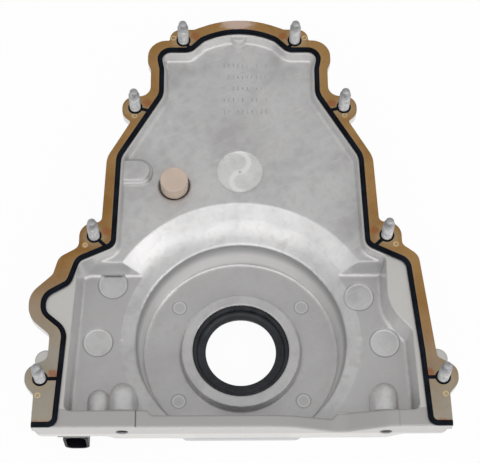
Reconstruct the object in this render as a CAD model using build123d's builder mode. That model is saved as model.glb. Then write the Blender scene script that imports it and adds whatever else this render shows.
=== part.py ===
from build123d import *
import os
from math import atan2, cos, degrees, radians, sin

os.makedirs("parts", exist_ok=True)

# A die-cast front cover for an engine's timing drive, lying on its front with the block side up.
# Origin: centre of the crank seal's lip, on the crank axis. +Z runs along the crank towards the
# block, +Y runs up the engine and +X is to the right when the block side is looked at.
# Depths are measured down from the machined joint face. All sizes are in millimetres.

# Levels of the casting
joint_z = 48.5
flange_t = 7.2
wall = 4.0
floor_t = 4.0
draft = 6.0
upper_depth = 8.5
lower_depth = 21.4
cup_depth = 50.6
seal_boss_depth = 43.0
snout_depth = 59.5
floor_round = 2.5
pocket_round = 3.2

# Places of the flange bolts on the right; the left ones mirror them
top_bolt_x = 41.1
top_bolt_y = 226.9
upper_bolt_x = 75.5
upper_bolt_y = 170.4
mid_bolt_x = 101.9
mid_bolt_y = 68.4
low_bolt_x = 134.6
low_bolt_y = -35.9
bolt_hole_r = 4.5
ear_r = 9.4
wide_ear_r = 10.4
seat_r = 9.2
seat_height = 0.8

# Flange bolt
bolt_r = 3.95
bolt_length = 33.8
bolt_point_r = 3.0
bolt_point_length = 3.4
bolt_head_h = 8.0
bolt_washer_r = 8.0
bolt_washer_t = 1.6
bolt_across_flats = 10.0
bolt_neck_r = 3.6
bolt_neck_over = 0.2
head_clearance = 0.4

# Outline
crown_r = 71.0
crown_y = 173.3
crown_lean = 22.0
shoulder_x = 67.1
shoulder_y = 226.9
neck_x = 64.7
hip_x = 94.9
hip_y = 129.9
foot_x = 139.2
rail_y = -69.3
lobe_x = 131.5
lobe_y = -22.5
lobe_r = 7.2

# Gasket
carrier_t = 1.5
bead_w = 3.5
bead_h = 1.6
ridge_w = 1.6
ridge_h = 0.6
land = 1.25
grommet_r = 4.0
grommet_w = 1.2
web_w = 2.5
pip_r = 1.25

# Pan rail
rail_inner_y = -57.7
rail_cup_y = -61.3
rail_end_depth = 19.6
rail_mid_depth = 25.2
machined_step = 0.5
plateau_left_x = -70.5
plateau_right_x = 104.5
scoop_x = 65.0
scoop_depth = 13.4
pan_bolt_r = 3.4
pan_bolt_chamfer = 1.0
pan_bolt_length = 22.0
left_pan_x = -79.9
left_pan_depth = 11.4
right_pan_x = 96.2
right_pan_depth = 13.2
pan_boss_r = 9.3
pan_boss_y = -44.5
side_boss_x = -96.0
side_boss_r = 7.9
side_boss_y = -47.0
side_boss_depth = 13.6

# Cone, cup and snout, all round the crank axis
cone_r = 98.3
crease_r = 84.3
crease_round = 30.0
crease_reach = 1.2
rim_r = 73.0
rim_depth = 25.5
rim_round = 2.5
cup_floor_r = 69.0
drum_r = 78.0
nose_r = 73.6
nose_round = 5.0
seal_boss_r = 41.7
seal_boss_foot_r = 43.2
snout_r = 44.0
ejector_x = 43.7
ejector_r = 5.0
ejector_depth = 0.3

# Pads, dish and crown boss
pad_r = 10.2
pad_depth = 0.8
pad_cut = 0.6
dish_y = 123.2
dish_r = 16.5
dish_depth = 0.4
crown_boss_y = 233.6
crown_boss_r = 5.9
crown_boss_depth = 1.0

# Crank seal
seal_r = 34.1
seal_depth = 44.6
seal_length = 12.4
seal_skin = 0.6
seal_rim_r = 31.0
seal_shelf = 7.4
seal_nose = 2.0
case_t = 1.1
case_bore_r = 28.6
lip_r = 24.8
lip_land = 1.2
lip_ridge_r = 29.2
dust_lip_r = 26.6

# Cam position sensor
sensor_x = -46.9
sensor_y = 112.0
sensor_r = 9.8
sensor_bore_r = 10.1
sensor_relief_r = 11.3
sensor_relief_depth = 10.5
sensor_tip_depth = -2.5
sensor_tip_round = 0.8
sensor_split_depth = 10.0
sensor_seat_depth = 20.0
sensor_seat_r = 15.0
sensor_ear_t = 6.0
sensor_ear_r = 7.5
sensor_body_r = 12.5
sensor_body_h = 15.0
sensor_groove_r = 8.6
sensor_groove_w = 1.9
sensor_groove_depth = 15.8
sensor_bolt_x = -72.5
sensor_bolt_y = 122.4
sensor_boss_r = 8.2
sensor_boss_reach = 13.0
sensor_boss_depth = 3.6
sensor_boss_round = 1.0
sensor_boss_base_r = 10.0
sensor_boss_base_h = 2.6
sensor_boss_seat_r = 9.0
sensor_hole_length = 14.0
sensor_socket_w = 15.0
sensor_socket_h = 11.0
sensor_socket_length = 14.0
sensor_socket_reach = 26.0
magnet_r = 4.5
magnet_length = 6.0
chip_w = 6.0
chip_t = 1.6
sleeve_t = 1.2

# M6 bolts
m6_r = 2.95
m6_core_r = 3.0
m6_head_h = 5.6
m6_washer_r = 6.4
m6_washer_t = 1.3
m6_across_flats = 8.0
m6_point_length = 1.5
m6_neck_r = 2.6
m6_neck_length = 1.2

# Lead connector and its bracket
connector_x = -113.2
connector_w = 17.0
connector_h = 26.5
connector_wall = 1.8
connector_round = 6.0
connector_y = -67.0
connector_length = 31.0
connector_socket_length = 17.0
clip_y = -48.0
clip_r = 2.6
clip_head_r = 3.6
clip_head_t = 1.2
bracket_t = 1.5
bracket_w = 21.3
bracket_end_y = -36.0
bracket_boss_h = 3.0
bracket_boss_r = 8.5
bracket_bolt_x = -98.8
bracket_bolt_y = -2.3
bracket_hole_length = 5.0

# Contact pins of both sockets
pin_w = 1.5
pin_t = 0.7
pin_pitch = 3.6
pin_length = 9.0
pin_root = 3.0

slip = 0.05
over = 20.0


def height(depth):
    """Z of a depth below the joint face."""
    return joint_z - depth


def level(depth):
    """Horizontal plane at a depth below the joint face."""
    return Plane.XY.offset(height(depth))


def flip(corners):
    """The same corners on the other side of the crank axis, in running order."""
    return [(-x, y, r) for x, y, r in reversed(corners)]


def trace(corners):
    """Closed outline through the corners, each rounded to its own radius."""
    points = [(x, y) for x, y, _ in corners]
    FilletPolyline(*points, radius=[r for *_, r in corners], close=True)


def inset(corners, distance):
    """Corners moved inwards: outward corners tighten and hollow ones open up."""
    moved = []
    for i, (x, y, r) in enumerate(corners):
        ahead = corners[(i + 1) % len(corners)]
        entry = Vector(x - corners[i - 1][0], y - corners[i - 1][1]).normalized()
        leave = Vector(ahead[0] - x, ahead[1] - y).normalized()
        share = distance / (1 + entry.dot(leave))
        side = Vector(-entry.Y - leave.Y, entry.X + leave.X) * share
        hollow = entry.cross(leave).Z < 0
        moved.append((x + side.X, y + side.Y, r + distance if hollow else max(r - distance, 0)))
    return moved


def turned(corners):
    """Solid of revolution about the crank axis, from corners given as radius, depth and round."""
    with BuildPart() as body:
        with BuildSketch(Plane.XZ):
            with BuildLine():
                trace([(r, height(depth), fillet_r) for r, depth, fillet_r in corners])
            make_face()
        revolve(axis=Axis.Z)
    return body.part


def pocket(corners, depth, bottom_r, cut=None):
    """Drafted solid below the joint face, cut by a plane if one is given, then rounded below."""
    with BuildPart() as body:
        with BuildSketch(level(0)):
            with BuildLine():
                trace(corners)
            make_face()
        extrude(amount=-depth, taper=draft)
        if cut:
            split(bisect_by=cut, keep=Keep.BOTTOM)
        fillet(body.faces().sort_by(Axis.Z)[0].edges(), bottom_r)
    return body.part


def flange_bolt(x, y, seat_depth, r, length, washer_r, washer_t, head_h, across_flats, neck, point):
    """Hexagon flange bolt that points at the block; neck and dog point are radius and length."""
    neck_r, neck_length = neck
    point_r, point_length = point
    upright = Plane(origin=(x, y, height(seat_depth)), x_dir=(1, 0, 0), z_dir=(0, -1, 0))
    crown_h = 0.12 * across_flats
    with BuildPart() as bolt:
        with BuildSketch(Plane(origin=(x, y, height(seat_depth)))):
            RegularPolygon(across_flats / 2, 6, major_radius=False)
        extrude(amount=-head_h)
        with BuildSketch(upright):
            with BuildLine():
                Polyline(
                    (0, 0),
                    (across_flats, 0),
                    (across_flats / 2 + 2 * crown_h, crown_h - head_h),
                    (across_flats / 2, -head_h),
                    (0, -head_h),
                    close=True,
                )
            make_face()
        revolve(axis=Axis((x, y, 0), (0, 0, 1)), mode=Mode.INTERSECT)
        with BuildSketch(upright):
            with BuildLine():
                FilletPolyline(
                    (0, -2 * washer_t),
                    (across_flats / 2, -2 * washer_t),
                    (washer_r, -washer_t / 2),
                    (washer_r, 0),
                    (neck_r, 0),
                    (neck_r, neck_length),
                    (r, neck_length),
                    (r, length - 1.8 * point_length),
                    (point_r, length - point_length),
                    (point_r, length),
                    (0, length),
                    radius=[0, 0, 0.3, 0, 0, 0, 0, 0, 0, 0.8, 0],
                    close=True,
                )
            make_face()
        revolve(axis=Axis((x, y, 0), (0, 0, 1)))
    return bolt.part


def save(part, name):
    """Label a finished piece and write it to its own file."""
    part.label = name
    export_step(part, f"parts/{name}.step")


# Bolt places, left side first
right_bolts = [
    (top_bolt_x, top_bolt_y),
    (upper_bolt_x, upper_bolt_y),
    (mid_bolt_x, mid_bolt_y),
    (low_bolt_x, low_bolt_y),
]
bolts = [(-x, y) for x, y in right_bolts] + right_bolts

# Flange outline, left half from the crown down
flange_upper = [
    (-33.3, top_bolt_y + ear_r, 5),
    (-top_bolt_x - ear_r, top_bolt_y + ear_r, 8),
    (-top_bolt_x - ear_r - 0.7, shoulder_y, 1.2),
    (-shoulder_x, shoulder_y, 13.5),
    (-shoulder_x, 208.5, 6),
    (-neck_x, 202.5, 6),
    (-neck_x, upper_bolt_y + ear_r, 8),
    (-upper_bolt_x - ear_r, upper_bolt_y + ear_r, ear_r),
    (-upper_bolt_x - ear_r, upper_bolt_y - 5.4, 8),
    (-upper_bolt_x - 3.0, upper_bolt_y - 11.4, 2),
    (-hip_x, hip_y, 18),
    (-mid_bolt_x + 4.8, mid_bolt_y + wide_ear_r, 4),
    (-mid_bolt_x - wide_ear_r, mid_bolt_y + wide_ear_r, wide_ear_r),
]
flange_lobe = [
    (-mid_bolt_x - wide_ear_r, mid_bolt_y - 8.2, 6),
    (-125.8, 52.4, 9),
    (-129.4, 39.6, 6),
    (-144.8, 25.0, 16),
    (-144.8, 8.6, 16),
    (-129.7, -4.3, 6),
    (-130.2, low_bolt_y + 13.9, 5),
]
flange_foot = [
    (-low_bolt_x - wide_ear_r, low_bolt_y + 7.1, 9),
    (-low_bolt_x - wide_ear_r, low_bolt_y - 3.7, 9),
    (-foot_x + 0.6, low_bolt_y - 11.0, 3),
    (-foot_x, rail_y, 0),
]
flange_right = [
    (131.6, low_bolt_y + 14.4, 4),
    (123.3, 53.2, 10),
    (mid_bolt_x + wide_ear_r, mid_bolt_y - 6.9, 5),
]
crown = [(0, crown_y + crown_r / cos(radians(crown_lean)), crown_r)]
flange_edge = (
    crown + flange_upper + flange_lobe + flange_foot
    + flip(flange_foot) + flange_right + flip(flange_upper)
)

# Middle line of the rubber bead, closed well below the rail
bead_foot_y = rail_y + bead_w / 2
bead_upper = [
    (-27.2, 228.2, 6),
    (-36.2, 219.2, 8),
    (-60.1, 219.2, 8),
    (-56.8, 203.0, 10),
    (-56.8, 181.8, 14),
    (-86.5, 131.0, 16),
    (-88.6, 62.3, 6.5),
]
bead_left = [
    (-112.7, 51.4, 9),
    (-118.4, 33.9, 8),
    (-135.0, 24.3, 10.5),
    (-135.0, 11.8, 10.5),
    (-119.8, -1.0, 12),
    (-124.0, bead_foot_y, 5),
    (-foot_x - over, bead_foot_y, 0),
    (-foot_x - over, bead_foot_y - over, 0),
]
bead_right = [
    (foot_x + over, bead_foot_y - over, 0),
    (foot_x + over, bead_foot_y, 0),
    (125.1, bead_foot_y, 5),
    (122.0, -17.0, 60),
    (115.7, 49.2, 9),
]
bead_line = [(0, 241.5, 57.5)] + bead_upper + bead_left + bead_right + flip(bead_upper)
bead_outside = inset(bead_line, -bead_w / 2)
bead_inside = inset(bead_line, bead_w / 2)

# Where each bolt's rubber web meets the bead, on the right
web_ends = [(36.3, 220.5), (66.5, 168.0), (93.0, 60.0), (122.5, low_bolt_y)]

# Inner edge of the hollow: it follows the bead above and runs its own way below
follow = inset(bead_line, bead_w / 2 + land)
shared = len(bead_upper) + 1
hollow_edge = follow[:shared] + [
    (-112.6, 48.0, 6),
    (-118.6, rail_inner_y, 4.5),
    (118.6, rail_inner_y, 4.5),
    (116.1, -1.5, 8),
    (100.2, 17.0, 30),
    (100.6, 53.0, 5),
] + follow[1 - shared:]
shell_edge = inset(hollow_edge, -wall)

# Sloping step between the upper floor and the lower pockets
step_top_y = 52.7
step_foot_y = 48.0
step_slope = Vector(0, lower_depth - upper_depth, step_foot_y - step_top_y).normalized()
step_plane = Plane(origin=(0, step_top_y, height(upper_depth)), z_dir=step_slope)

# Cup wall and front of the nose, leaning in beside the pan rail
cup_lean = Vector(0, -cos(radians(4.2)), -sin(radians(4.2)))
cup_plane = Plane(origin=(0, rail_cup_y, joint_z), z_dir=cup_lean)
nose_lean = Vector(0, -cos(radians(13)), -sin(radians(13)))
nose_plane = Plane(origin=(0, rail_y, height(rail_mid_depth)), z_dir=nose_lean)

# Outer form of the casting
with BuildPart() as rail:
    with BuildSketch(Plane.XZ.offset(-rail_inner_y)):
        with BuildLine():
            FilletPolyline(
                (-foot_x, joint_z),
                (-foot_x + 3.6, height(rail_end_depth)),
                (-91.0, height(rail_end_depth)),
                (-84.5, height(rail_mid_depth)),
                (95.0, height(rail_mid_depth + 1.2)),
                (108.0, height(rail_end_depth - 2.6)),
                (foot_x - 4.5, height(rail_end_depth - 2.6)),
                (foot_x - 1.5, joint_z),
                radius=[0, 4.0, 4.0, 4.0, 8.0, 6.0, 4.0, 0],
                close=True,
            )
        make_face()
    extrude(amount=rail_inner_y - rail_y)

with BuildPart() as front_bosses:
    with BuildSketch(level(flange_t)):
        with Locations(*bolts):
            Circle(seat_r)
    extrude(amount=-seat_height)
    with BuildSketch(level(upper_depth + floor_t / 2)):
        with Locations((sensor_x, sensor_y)):
            Circle(sensor_seat_r)
        with Locations((sensor_bolt_x, sensor_bolt_y)):
            Circle(sensor_boss_seat_r)
        make_hull()
    extrude(amount=upper_depth + floor_t / 2 - sensor_seat_depth)
    with BuildSketch(level(lower_depth + floor_t / 2)):
        with Locations((bracket_bolt_x, bracket_bolt_y)):
            Circle(bracket_boss_r)
    extrude(amount=-floor_t / 2 - bracket_boss_h)
    with BuildSketch(level(slip)):
        with Locations((-lobe_x, lobe_y), (lobe_x, lobe_y)):
            Circle(lobe_r)
    extrude(amount=-flange_t)

drum = turned([
    (0, upper_depth, 0),
    (cone_r, upper_depth, 0),
    (cone_r + 1.2, upper_depth + floor_t, 3.0),
    (crease_r + 1.7, lower_depth + floor_t, 3.0),
    (drum_r, rim_depth + floor_t - 1.2, 3.0),
    (nose_r, cup_depth + floor_t, nose_round),
    (snout_r, cup_depth + floor_t, 0),
    (snout_r - 0.6, snout_depth, 0),
    (0, snout_depth, 0),
])
upper_shell = pocket(shell_edge, upper_depth + floor_t, floor_round)
with BuildPart() as lower_shell:
    add(pocket(shell_edge, lower_depth + floor_t, pocket_round))
    split(bisect_by=step_plane.offset(wall), keep=Keep.BOTTOM)

with BuildPart() as outer_form:
    with BuildSketch(level(0)):
        with BuildLine():
            trace(flange_edge)
        make_face()
    extrude(amount=-flange_t)
    add([upper_shell, lower_shell.part, drum, rail.part, front_bosses.part])
    split(bisect_by=Plane(origin=(0, rail_y, 0), z_dir=(0, -1, 0)), keep=Keep.BOTTOM)
    split(bisect_by=nose_plane, keep=Keep.BOTTOM)

# What the casting leaves open towards the block
upper_hollow = pocket(hollow_edge, upper_depth, floor_round)
lower_hollow = pocket(hollow_edge, lower_depth, pocket_round, step_plane)


def well(mouth):
    """The mouth given, down to the rim, and the cup round the seal's boss below it."""
    return turned([
        (0, 0, 0),
        *mouth,
        (rim_r, rim_depth, rim_round),
        (cup_floor_r, cup_depth, 3.0),
        (seal_boss_foot_r, cup_depth, 1.5),
        (seal_boss_r, seal_boss_depth, 0),
        (0, seal_boss_depth, 0),
    ])


# Above the crank axis the cone runs up to the upper floor, below it only to the pockets' floor
rim_slope = (rim_depth - lower_depth) / (crease_r - rim_r)
low_mouth_r = crease_r + crease_reach
low_mouth_depth = lower_depth - crease_reach * rim_slope
with BuildPart() as upper_well:
    add(well([(cone_r, 0, 0), (cone_r, upper_depth, 0), (crease_r, lower_depth, crease_round)]))
    split(bisect_by=Plane.XZ, keep=Keep.BOTTOM)

with BuildPart() as lower_well:
    add(well([(low_mouth_r, 0, 0), (low_mouth_r, low_mouth_depth, 0)]))
    split(bisect_by=Plane.XZ, keep=Keep.TOP)
    split(bisect_by=cup_plane, keep=Keep.BOTTOM)

with BuildPart() as scoop:
    with BuildSketch(Plane.XZ.offset(-rail_inner_y - 3.0)):
        with BuildLine():
            FilletPolyline(
                (plateau_left_x, joint_z + 1.0),
                (plateau_left_x, height(machined_step)),
                (scoop_x - 47.0, height(machined_step)),
                (scoop_x - 32.0, height(2.0)),
                (scoop_x - 4.0, height(scoop_depth)),
                (scoop_x + 4.0, height(scoop_depth)),
                (plateau_right_x - 5.5, height(machined_step)),
                (plateau_right_x, height(machined_step)),
                (plateau_right_x, joint_z + 1.0),
                radius=[0, 0, 36.0, 40.0, 14.0, 14.0, 24.0, 0, 0],
                close=True,
            )
        make_face()
    extrude(amount=rail_inner_y - rail_y + 6.0)

pads = [(-89.6, 41.0), (bracket_bolt_x, bracket_bolt_y + 0.4), (82.8, 31.4), (99.3, -3.0)]
with BuildPart() as marks:
    with BuildSketch(level(upper_depth)):
        with Locations((0, dish_y)):
            Circle(dish_r)
    extrude(amount=-dish_depth)
    with BuildSketch(level(cup_depth)):
        with GridLocations(2 * ejector_x, 70.2, 2, 2):
            Circle(ejector_r)
    extrude(amount=-ejector_depth)
    with BuildSketch(level(lower_depth - pad_cut)):
        with Locations(*pads):
            Circle(pad_r)
    extrude(amount=-pad_depth - pad_cut)



def bolt_boss(boss_r, top_depth):
    """Step of the boss round the sensor's bolt, run out to the wall and rounded along its rim."""
    with BuildPart() as boss:
        with BuildSketch(level(upper_depth + 1.0)):
            with Locations((sensor_bolt_x, sensor_bolt_y)):
                Circle(boss_r)
                Rectangle(sensor_boss_reach, 2 * boss_r, align=(Align.MAX, Align.CENTER))
        extrude(amount=upper_depth + 1.0 - top_depth)
        fillet(boss.faces().sort_by(Axis.Z)[-1].edges(), sensor_boss_round)
    return boss.part


# Bosses that stand up inside: x, radius, depth of the axis, and where the round end is
rail_bosses = [
    (left_pan_x, pan_boss_r, left_pan_depth, pan_boss_y),
    (right_pan_x, pan_boss_r, right_pan_depth, pan_boss_y),
    (side_boss_x, side_boss_r, side_boss_depth, side_boss_y),
]
with BuildPart() as inner_bosses:
    for boss_x, boss_r, boss_depth, boss_y in rail_bosses:
        with BuildSketch(level(boss_depth)):
            with Locations((boss_x, boss_y)):
                Circle(boss_r)
            with Locations((boss_x, (boss_y + rail_inner_y) / 2 - 0.5)):
                Rectangle(2 * boss_r, boss_y - rail_inner_y + 1.0)
        extrude(amount=boss_depth - lower_depth - 1.0)
        with Locations((boss_x, boss_y, height(boss_depth))):
            Sphere(boss_r)
        with Locations(Plane(origin=(boss_x, boss_y, height(boss_depth)), z_dir=(0, -1, 0))):
            Cylinder(boss_r, boss_y - rail_inner_y + 1.0, align=(Align.CENTER, Align.CENTER, Align.MIN))
    add(bolt_boss(sensor_boss_r, sensor_boss_depth))
    add(bolt_boss(sensor_boss_base_r, upper_depth - sensor_boss_base_h))
    with BuildSketch(level(crown_boss_depth)):
        with Locations((0, crown_boss_y)):
            Circle(crown_boss_r)
    extrude(amount=crown_boss_depth - upper_depth - 1.0)

# Holes through the casting, and the spot faces that clear the bolt heads
seat_depth = flange_t + seat_height
with BuildPart() as holes:
    with BuildSketch(level(0)):
        with Locations(*bolts):
            Circle(bolt_hole_r)
    extrude(amount=-seat_depth)
    with BuildSketch(level(seat_depth)):
        with Locations(*bolts):
            Circle(bolt_washer_r + head_clearance)
    extrude(amount=-bolt_head_h)
    with BuildSketch(level(seal_boss_depth)):
        Circle(seal_r)
    extrude(amount=seal_boss_depth - snout_depth)
    with BuildSketch(level(upper_depth)):
        with Locations((sensor_x, sensor_y)):
            Circle(sensor_relief_r)
    extrude(amount=upper_depth - sensor_relief_depth)
    with BuildSketch(level(sensor_relief_depth)):
        with Locations((sensor_x, sensor_y)):
            Circle(sensor_bore_r)
    extrude(amount=sensor_relief_depth - sensor_seat_depth)
    with BuildSketch(level(sensor_seat_depth)):
        with Locations((sensor_bolt_x, sensor_bolt_y)):
            Circle(m6_core_r)
    extrude(amount=sensor_hole_length)
    with BuildSketch(level(lower_depth + floor_t + bracket_boss_h)):
        with Locations((bracket_bolt_x, bracket_bolt_y)):
            Circle(m6_core_r)
    extrude(amount=bracket_hole_length)
    for hole_x, hole_depth in ((left_pan_x, left_pan_depth), (right_pan_x, right_pan_depth)):
        face = Plane(origin=(hole_x, rail_y, height(hole_depth)), z_dir=(0, 1, 0))
        with Locations(face):
            Cylinder(pan_bolt_r, pan_bolt_length, align=(Align.CENTER, Align.CENTER, Align.MIN))
            Cone(
                pan_bolt_r + pan_bolt_chamfer,
                pan_bolt_r,
                pan_bolt_chamfer,
                align=(Align.CENTER, Align.CENTER, Align.MIN),
            )

openings = [upper_hollow, lower_hollow, upper_well.part, lower_well.part, scoop.part, marks.part]

with BuildPart() as cover_casting:
    add(outer_form.part)
    add(openings, mode=Mode.SUBTRACT)
    add(inner_bosses.part)
    add(holes.part, mode=Mode.SUBTRACT)
save(cover_casting.part, "cover_casting")

# Rubber rings round the bolts with their webs
with BuildSketch() as keys:
    for side in (-1, 1):
        for (bolt_x, bolt_y), (end_x, end_y) in zip(right_bolts, web_ends):
            run = Vector(side * (end_x - bolt_x), end_y - bolt_y)
            turn = degrees(atan2(run.Y, run.X))
            with Locations(Location((side * bolt_x, bolt_y), turn)):
                Rectangle(run.length, web_w, align=(Align.MIN, Align.CENTER))
                Circle(grommet_r + grommet_w)

with BuildPart() as gasket_bead:
    with BuildSketch(level(0)):
        with BuildLine():
            trace(bead_outside)
        make_face()
        add(keys.sketch)
        with BuildLine():
            trace(bead_inside)
        make_face(mode=Mode.SUBTRACT)
        with Locations(*bolts):
            Circle(grommet_r, mode=Mode.SUBTRACT)
        with BuildLine():
            trace(flange_edge)
        make_face(mode=Mode.INTERSECT)
    extrude(amount=bead_h)
    with BuildSketch(level(-bead_h)):
        with BuildLine():
            trace(inset(bead_line, -ridge_w / 2))
        make_face()
        with BuildLine():
            trace(inset(bead_line, ridge_w / 2))
        make_face(mode=Mode.SUBTRACT)
        with BuildLine():
            trace(flange_edge)
        make_face(mode=Mode.INTERSECT)
    extrude(amount=ridge_h)
save(gasket_bead.part, "gasket_bead")

with BuildPart() as gasket_carrier:
    with BuildSketch(level(0)):
        with BuildLine():
            trace(flange_edge)
        make_face()
        with BuildLine():
            trace(bead_outside)
        make_face(mode=Mode.SUBTRACT)
        add(keys.sketch, mode=Mode.SUBTRACT)
        for side in (-1, 1):
            with Locations(
                (side * 76.0, 163.6),
                (side * 108.0, 61.5),
                (side * 135.7, -47.5),
                (side * 48.5, 229.0),
            ):
                Circle(pip_r, mode=Mode.SUBTRACT)
    extrude(amount=carrier_t)
save(gasket_carrier.part, "gasket_carrier")

# Crank seal: a pressed steel ring in moulded rubber, with the shaft lip set into its block side
seal_face = seal_depth + seal_length
shelf_depth = seal_depth + seal_shelf
case_r = seal_r - seal_skin

crank_seal_case = turned([
    (case_r, seal_depth + 1.5, 0),
    (case_r - case_t, seal_depth + 1.5, 0),
    (case_r - case_t, seal_face - case_t, 0.6),
    (case_bore_r, seal_face - case_t, 0),
    (case_bore_r, seal_face, 0),
    (case_r, seal_face, 0),
])
save(crank_seal_case, "crank_seal_case")

crank_seal_body = turned([
    (seal_r, seal_depth + seal_skin, 0),
    (case_r, seal_depth, 0),
    (seal_rim_r + 0.8, seal_depth, 0),
    (seal_rim_r, seal_depth + 1.4, 0),
    (seal_rim_r, shelf_depth, 0),
    (dust_lip_r + 0.6, shelf_depth, 0),
    (dust_lip_r, seal_face - seal_nose - 0.4, 0),
    (dust_lip_r + 0.3, seal_face - seal_nose, 0),
    (case_bore_r - 0.6, seal_face - seal_nose - 0.8, 0),
    (case_bore_r, seal_face - case_t, 0),
    (case_r - case_t, seal_face - case_t, 0.6),
    (case_r - case_t, seal_depth + 1.5, 0),
    (case_r, seal_depth + 1.5, 0),
    (case_r, seal_face, 0),
    (seal_r, seal_face, 0),
])
save(crank_seal_body, "crank_seal_body")

crank_seal_lip = turned([
    (seal_rim_r, seal_depth + 2.0, 0),
    (lip_ridge_r, seal_depth + 1.5, 0.8),
    (lip_ridge_r - 1.6, seal_depth + 2.6, 1.5),
    (lip_r, joint_z - lip_land / 2, 0),
    (lip_r, joint_z + lip_land / 2, 0),
    (lip_r + 2.2, joint_z + lip_land, 1.2),
    (lip_ridge_r, shelf_depth, 0),
    (seal_rim_r, shelf_depth, 0),
])
save(crank_seal_lip, "crank_seal_lip")

# Cam position sensor, put in from the front, its tan tip standing up inside
magnet_depth = sensor_split_depth + magnet_length
with BuildPart() as cam_sensor_tip:
    with BuildSketch(level(sensor_split_depth)):
        with Locations((sensor_x, sensor_y)):
            Circle(sensor_r)
    extrude(amount=sensor_split_depth - sensor_tip_depth)
    fillet(cam_sensor_tip.faces().sort_by(Axis.Z)[-1].edges(), sensor_tip_round)
    with BuildSketch(level(sensor_split_depth)):
        with Locations((sensor_x, sensor_y)):
            Rectangle(chip_w, chip_w)
    extrude(amount=chip_t, mode=Mode.SUBTRACT)
save(cam_sensor_tip.part, "cam_sensor_tip")

with BuildPart() as cam_sensor_chip:
    with BuildSketch(level(sensor_split_depth)):
        with Locations((sensor_x, sensor_y)):
            Rectangle(chip_w, chip_w)
    extrude(amount=chip_t)
save(cam_sensor_chip.part, "cam_sensor_chip")

with BuildPart() as cam_sensor_magnet:
    with BuildSketch(level(magnet_depth)):
        with Locations((sensor_x, sensor_y)):
            Circle(magnet_r)
    extrude(amount=magnet_length)
save(cam_sensor_magnet.part, "cam_sensor_magnet")

ear_depth = sensor_seat_depth + sensor_ear_t
socket_depth = sensor_seat_depth + sensor_body_h - sensor_socket_h / 2
socket_plane = Plane(
    origin=(sensor_x, sensor_y - sensor_socket_reach, height(socket_depth)),
    x_dir=(1, 0, 0),
    z_dir=(0, 1, 0),
)
sleeve_r = m6_core_r + 0.3 + sleeve_t
with BuildPart() as cam_sensor_body:
    with BuildSketch(level(sensor_split_depth)):
        with Locations((sensor_x, sensor_y)):
            Circle(sensor_r)
    extrude(amount=sensor_split_depth - sensor_seat_depth)
    with BuildSketch(level(sensor_seat_depth)):
        with Locations((sensor_x, sensor_y)):
            Circle(sensor_body_r)
        with Locations((sensor_bolt_x, sensor_bolt_y)):
            Circle(sensor_ear_r)
        make_hull()
    extrude(amount=-sensor_ear_t)
    with BuildSketch(level(ear_depth)):
        with Locations((sensor_x, sensor_y)):
            Circle(sensor_body_r - 0.6)
    extrude(amount=sensor_ear_t - sensor_body_h)
    fillet(cam_sensor_body.faces().sort_by(Axis.Z)[0].edges(), 1.5)
    with BuildSketch(socket_plane):
        RectangleRounded(sensor_socket_w, sensor_socket_h, 3.0)
    extrude(amount=sensor_socket_reach)
    with BuildSketch(socket_plane):
        RectangleRounded(
            sensor_socket_w - 2 * connector_wall, sensor_socket_h - 2 * connector_wall, 1.5
        )
    extrude(amount=sensor_socket_length, mode=Mode.SUBTRACT)
    with BuildSketch(socket_plane.offset(sensor_socket_length)):
        with GridLocations(pin_pitch, 0, 3, 1):
            Rectangle(pin_w, pin_t)
    extrude(amount=pin_root, mode=Mode.SUBTRACT)
    with BuildSketch(level(sensor_groove_depth)):
        with Locations((sensor_x, sensor_y)):
            Circle(sensor_r + slip)
            Circle(sensor_groove_r, mode=Mode.SUBTRACT)
    extrude(amount=-sensor_groove_w, mode=Mode.SUBTRACT)
    with BuildSketch(level(sensor_split_depth)):
        with Locations((sensor_x, sensor_y)):
            Circle(magnet_r)
    extrude(amount=-magnet_length, mode=Mode.SUBTRACT)
    with BuildSketch(level(sensor_seat_depth)):
        with Locations((sensor_bolt_x, sensor_bolt_y)):
            Circle(sleeve_r)
    extrude(amount=-sensor_ear_t, mode=Mode.SUBTRACT)
save(cam_sensor_body.part, "cam_sensor_body")

with BuildPart() as cam_sensor_pins:
    with BuildSketch(socket_plane.offset(sensor_socket_length + pin_root)):
        with GridLocations(pin_pitch, 0, 3, 1):
            Rectangle(pin_w, pin_t)
    extrude(amount=-pin_root - pin_length)
save(cam_sensor_pins.part, "cam_sensor_pins")

ring_r = (sensor_bore_r - sensor_groove_r) / 2
with BuildPart() as cam_sensor_o_ring:
    with Locations((sensor_x, sensor_y, height(sensor_groove_depth + sensor_groove_w / 2))):
        Torus(sensor_groove_r + ring_r, ring_r)
save(cam_sensor_o_ring.part, "cam_sensor_o_ring")

with BuildPart() as cam_sensor_sleeve:
    with BuildSketch(level(sensor_seat_depth)):
        with Locations((sensor_bolt_x, sensor_bolt_y)):
            Circle(sleeve_r)
            Circle(sleeve_r - sleeve_t, mode=Mode.SUBTRACT)
    extrude(amount=-sensor_ear_t)
save(cam_sensor_sleeve.part, "cam_sensor_sleeve")

m6_neck = (m6_neck_r, m6_neck_length)
m6_point = (m6_r - 0.7, m6_point_length)
m6_head = (m6_washer_r, m6_washer_t, m6_head_h, m6_across_flats, m6_neck, m6_point)
cam_sensor_bolt = flange_bolt(
    sensor_bolt_x, sensor_bolt_y, ear_depth, m6_r, sensor_ear_t + sensor_hole_length - 1.0, *m6_head
)
save(cam_sensor_bolt, "cam_sensor_bolt")

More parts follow.
